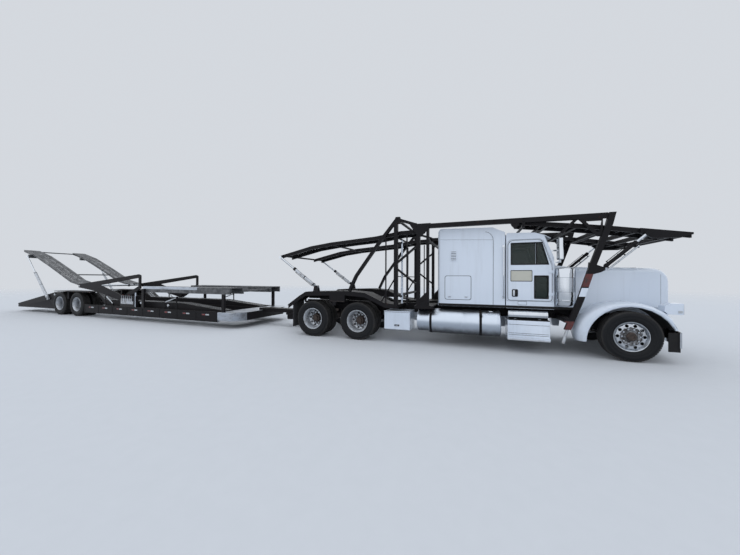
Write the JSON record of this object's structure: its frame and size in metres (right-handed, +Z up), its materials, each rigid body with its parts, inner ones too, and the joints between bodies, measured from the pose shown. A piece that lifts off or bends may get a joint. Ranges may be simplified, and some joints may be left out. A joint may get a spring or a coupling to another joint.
{
  "type": "car transporter truck",
  "caption": "Articulated car transporter: long-hood sleeper tractor with an over-cab rack, and a low stinger-steered two-axle trailer with lifting decks.",
  "frame": {"origin": "centre of the footprint on the ground", "axes": "+X forwards along the truck, +Y to its left, +Z up"},
  "size_m": [23.76, 2.58, 3.06],
  "materials": {
    "white_paint": "gloss",
    "black_steel": "satin, dusty",
    "engine_paint": "dull",
    "bright_chrome": "polished",
    "polished_aluminium": "polished",
    "tyre_rubber": "dusty",
    "window_glass": "tinted",
    "cab_trim": "matte"
  },
  "bodies": {
    "tractor": {"chassis_frame": "black_steel", "running_gear": "black_steel", "engine_block": "engine_paint", "front_bumper": "bright_chrome", "cab_shell": "white_paint", "cab_interior": "cab_trim", "cab_glass": "window_glass", "sleeper_shell": "white_paint", "fuel_tanks": "polished_aluminium", "side_boxes": "white_paint", "air_cleaners": "bright_chrome", "mirrors": "bright_chrome", "rack_tower": "black_steel", "rack_beams": "black_steel", "rear_fenders": "black_steel"},
    "hood": {"hood": "white_paint", "grille": "bright_chrome", "headlamps": "bright_chrome"},
    "tie_rod": {"tie_rod": "black_steel"},
    "head_ramp": {"head_ramp": "black_steel"},
    "head_barrels": {"head_barrels": "black_steel"},
    "head_rods": {"head_rods": "bright_chrome"},
    "rear_deck": {"rear_deck": "black_steel"},
    "rear_barrels": {"rear_barrels": "black_steel"},
    "rear_rods": {"rear_rods": "bright_chrome"},
    "trailer": {"trailer_frame": "black_steel", "trailer_axles": "black_steel", "trailer_decks": "black_steel"},
    "front_deck": {"front_upper_deck": "polished_aluminium"},
    "lift_arms": {"lift_arms": "black_steel"},
    "ramp_shaft": {"ramp_shaft": "black_steel"},
    "rear_ramp": {"rear_ramp": "black_steel"},
    "ramp_barrels": {"ramp_barrels": "black_steel"},
    "ramp_rods": {"ramp_rods": "bright_chrome"},
    "door_left": {"door_left": "white_paint", "door_glass_left": "window_glass"},
    "knuckle_left": {"knuckle_left": "black_steel"},
    "steer_wheel_left": {"tyre_steer_left": "tyre_rubber", "rim_steer_left": "polished_aluminium"},
    "drive_front_wheel_left": {"tyre_drive_front_left": "tyre_rubber", "rim_drive_front_left": "polished_aluminium"},
    "drive_rear_wheel_left": {"tyre_drive_rear_left": "tyre_rubber", "rim_drive_rear_left": "polished_aluminium"},
    "trailer_front_wheel_left": {"tyre_trailer_front_left": "tyre_rubber", "rim_trailer_front_left": "polished_aluminium"},
    "trailer_rear_wheel_left": {"tyre_trailer_rear_left": "tyre_rubber", "rim_trailer_rear_left": "polished_aluminium"},
    "door_right": {"door_right": "white_paint", "door_glass_right": "window_glass"},
    "knuckle_right": {"knuckle_right": "black_steel"},
    "steer_wheel_right": {"tyre_steer_right": "tyre_rubber", "rim_steer_right": "polished_aluminium"},
    "drive_front_wheel_right": {"tyre_drive_front_right": "tyre_rubber", "rim_drive_front_right": "polished_aluminium"},
    "drive_rear_wheel_right": {"tyre_drive_rear_right": "tyre_rubber", "rim_drive_rear_right": "polished_aluminium"},
    "trailer_front_wheel_right": {"tyre_trailer_front_right": "tyre_rubber", "rim_trailer_front_right": "polished_aluminium"},
    "trailer_rear_wheel_right": {"tyre_trailer_rear_right": "tyre_rubber", "rim_trailer_rear_right": "polished_aluminium"}
  },
  "joints": [
    {"name": "hood_tilt", "type": "hinge", "parent": "tractor", "child": "hood", "pos_m": [11.78, 0, 0.62], "axis": [0, 1, 0], "range_deg": [0, 25]},
    {"name": "door_left_hinge", "type": "hinge", "parent": "tractor", "child": "door_left", "pos_m": [9.73, 1.066, 1.5], "axis": [0, 0, -1], "range_deg": [0, 65]},
    {"name": "door_right_hinge", "type": "hinge", "parent": "tractor", "child": "door_right", "pos_m": [9.73, -1.066, 1.5], "axis": [0, 0, 1], "range_deg": [0, 65]},
    {"name": "steer_left", "type": "hinge", "parent": "tractor", "child": "knuckle_left", "pos_m": [10.98, 0.86, 0.4775], "axis": [0, 0, 1], "range_deg": [-32, 32]},
    {"name": "steer_right", "type": "hinge", "parent": "tractor", "child": "knuckle_right", "pos_m": [10.98, -0.86, 0.4775], "axis": [0, 0, 1], "range_deg": [-32, 32]},
    {"name": "tie_rod_joint", "type": "hinge", "parent": "knuckle_left", "child": "tie_rod", "pos_m": [10.78, 0.86, 0.41], "axis": [0, 0, 1], "range_deg": [-32, 32]},
    {"name": "steer_wheel_left_spin", "type": "hinge", "parent": "knuckle_left", "child": "steer_wheel_left", "pos_m": [10.98, 1.05, 0.4775], "axis": [0, 1, 0], "continuous": true},
    {"name": "steer_wheel_right_spin", "type": "hinge", "parent": "knuckle_right", "child": "steer_wheel_right", "pos_m": [10.98, -1.05, 0.4775], "axis": [0, 1, 0], "continuous": true},
    {"name": "drive_front_wheel_left_spin", "type": "hinge", "parent": "tractor", "child": "drive_front_wheel_left", "pos_m": [5.368, 0.9775, 0.4775], "axis": [0, 1, 0], "continuous": true},
    {"name": "drive_front_wheel_right_spin", "type": "hinge", "parent": "tractor", "child": "drive_front_wheel_right", "pos_m": [5.368, -0.9775, 0.4775], "axis": [0, 1, 0], "continuous": true},
    {"name": "drive_rear_wheel_left_spin", "type": "hinge", "parent": "tractor", "child": "drive_rear_wheel_left", "pos_m": [4.059, 0.9775, 0.4775], "axis": [0, 1, 0], "continuous": true},
    {"name": "drive_rear_wheel_right_spin", "type": "hinge", "parent": "tractor", "child": "drive_rear_wheel_right", "pos_m": [4.059, -0.9775, 0.4775], "axis": [0, 1, 0], "continuous": true},
    {"name": "trailer_front_wheel_left_spin", "type": "hinge", "parent": "trailer", "child": "trailer_front_wheel_left", "pos_m": [-6.99, 0.9775, 0.4775], "axis": [0, 1, 0], "continuous": true},
    {"name": "trailer_front_wheel_right_spin", "type": "hinge", "parent": "trailer", "child": "trailer_front_wheel_right", "pos_m": [-6.99, -0.9775, 0.4775], "axis": [0, 1, 0], "continuous": true},
    {"name": "trailer_rear_wheel_left_spin", "type": "hinge", "parent": "trailer", "child": "trailer_rear_wheel_left", "pos_m": [-8.22, 0.9775, 0.4775], "axis": [0, 1, 0], "continuous": true},
    {"name": "trailer_rear_wheel_right_spin", "type": "hinge", "parent": "trailer", "child": "trailer_rear_wheel_right", "pos_m": [-8.22, -0.9775, 0.4775], "axis": [0, 1, 0], "continuous": true},
    {"name": "trailer_yaw", "type": "hinge", "parent": "tractor", "child": "trailer", "pos_m": [2.56, 0, 0.44], "axis": [0, 0, 1], "range_deg": [-50, 50]},
    {"name": "head_ramp_hinge", "type": "hinge", "parent": "tractor", "child": "head_ramp", "pos_m": [9.03, 0, 2.78], "axis": [0, -1, 0], "range_deg": [0, 15]},
    {"name": "head_barrel_pivot", "type": "hinge", "parent": "tractor", "child": "head_barrels", "pos_m": [10.48, 0, 1.76], "axis": [0, -1, 0], "range_deg": [0, 17.59]},
    {"name": "head_rod_slide", "type": "slide", "parent": "head_barrels", "child": "head_rods", "axis": [0.7276, 0, 0.686], "range_m": [0, 0.4654]},
    {"name": "rear_deck_hinge", "type": "hinge", "parent": "tractor", "child": "rear_deck", "pos_m": [6.93, 0, 2.7], "axis": [0, -1, 0], "range_deg": [-4, 8]},
    {"name": "rear_barrel_pivot", "type": "hinge", "parent": "tractor", "child": "rear_barrels", "pos_m": [4.16, 0, 1.33], "axis": [0, -1, 0], "range_deg": [-9.83, 19.15]},
    {"name": "rear_rod_slide", "type": "slide", "parent": "rear_barrels", "child": "rear_rods", "axis": [-0.8179, 0, 0.5753], "range_m": [-0.3582, 0.1811]},
    {"name": "front_deck_hinge", "type": "hinge", "parent": "trailer", "child": "front_deck", "pos_m": [-2.92, 0, 1.11], "axis": [0, -1, 0], "range_deg": [0, 10]},
    {"name": "lift_arm_pivot", "type": "hinge", "parent": "trailer", "child": "lift_arms", "pos_m": [-4.22, 0, 0.78], "axis": [0, -1, 0], "range_deg": [-6, 0]},
    {"name": "ramp_shaft_turn", "type": "hinge", "parent": "lift_arms", "child": "ramp_shaft", "pos_m": [-7.02, 0, 1.22], "axis": [0, -1, 0], "range_deg": [0, 10.45]},
    {"name": "ramp_hinge", "type": "hinge", "parent": "ramp_shaft", "child": "rear_ramp", "pos_m": [-7.02, 0, 1.22], "axis": [0, -1, 0], "range_deg": [0, 16]},
    {"name": "ramp_barrel_pivot", "type": "hinge", "parent": "trailer", "child": "ramp_barrels", "pos_m": [-9.15, 0, 0.64], "axis": [0, -1, 0], "range_deg": [0, 25.56]},
    {"name": "ramp_rod_slide", "type": "slide", "parent": "ramp_barrels", "child": "ramp_rods", "axis": [-0.6833, 0, 0.7301], "range_m": [-0.4921, 0]}
  ],
  "couplings": [
    {"joint": "steer_right", "follows": "steer_left", "ratio": 1},
    {"joint": "tie_rod_joint", "follows": "steer_left", "ratio": -1},
    {"joint": "head_barrel_pivot", "follows": "head_ramp_hinge", "ratio": 1.1391},
    {"joint": "head_rod_slide", "follows": "head_ramp_hinge", "m_per_rad": 1.7623},
    {"joint": "rear_barrel_pivot", "follows": "rear_deck_hinge", "ratio": 2.3313},
    {"joint": "rear_rod_slide", "follows": "rear_deck_hinge", "m_per_rad": -2.537},
    {"joint": "ramp_shaft_turn", "follows": "lift_arm_pivot", "ratio": -1.6916},
    {"joint": "ramp_barrel_pivot", "follows": "ramp_hinge", "ratio": 1.566},
    {"joint": "ramp_rod_slide", "follows": "ramp_hinge", "m_per_rad": -1.748}
  ]
}
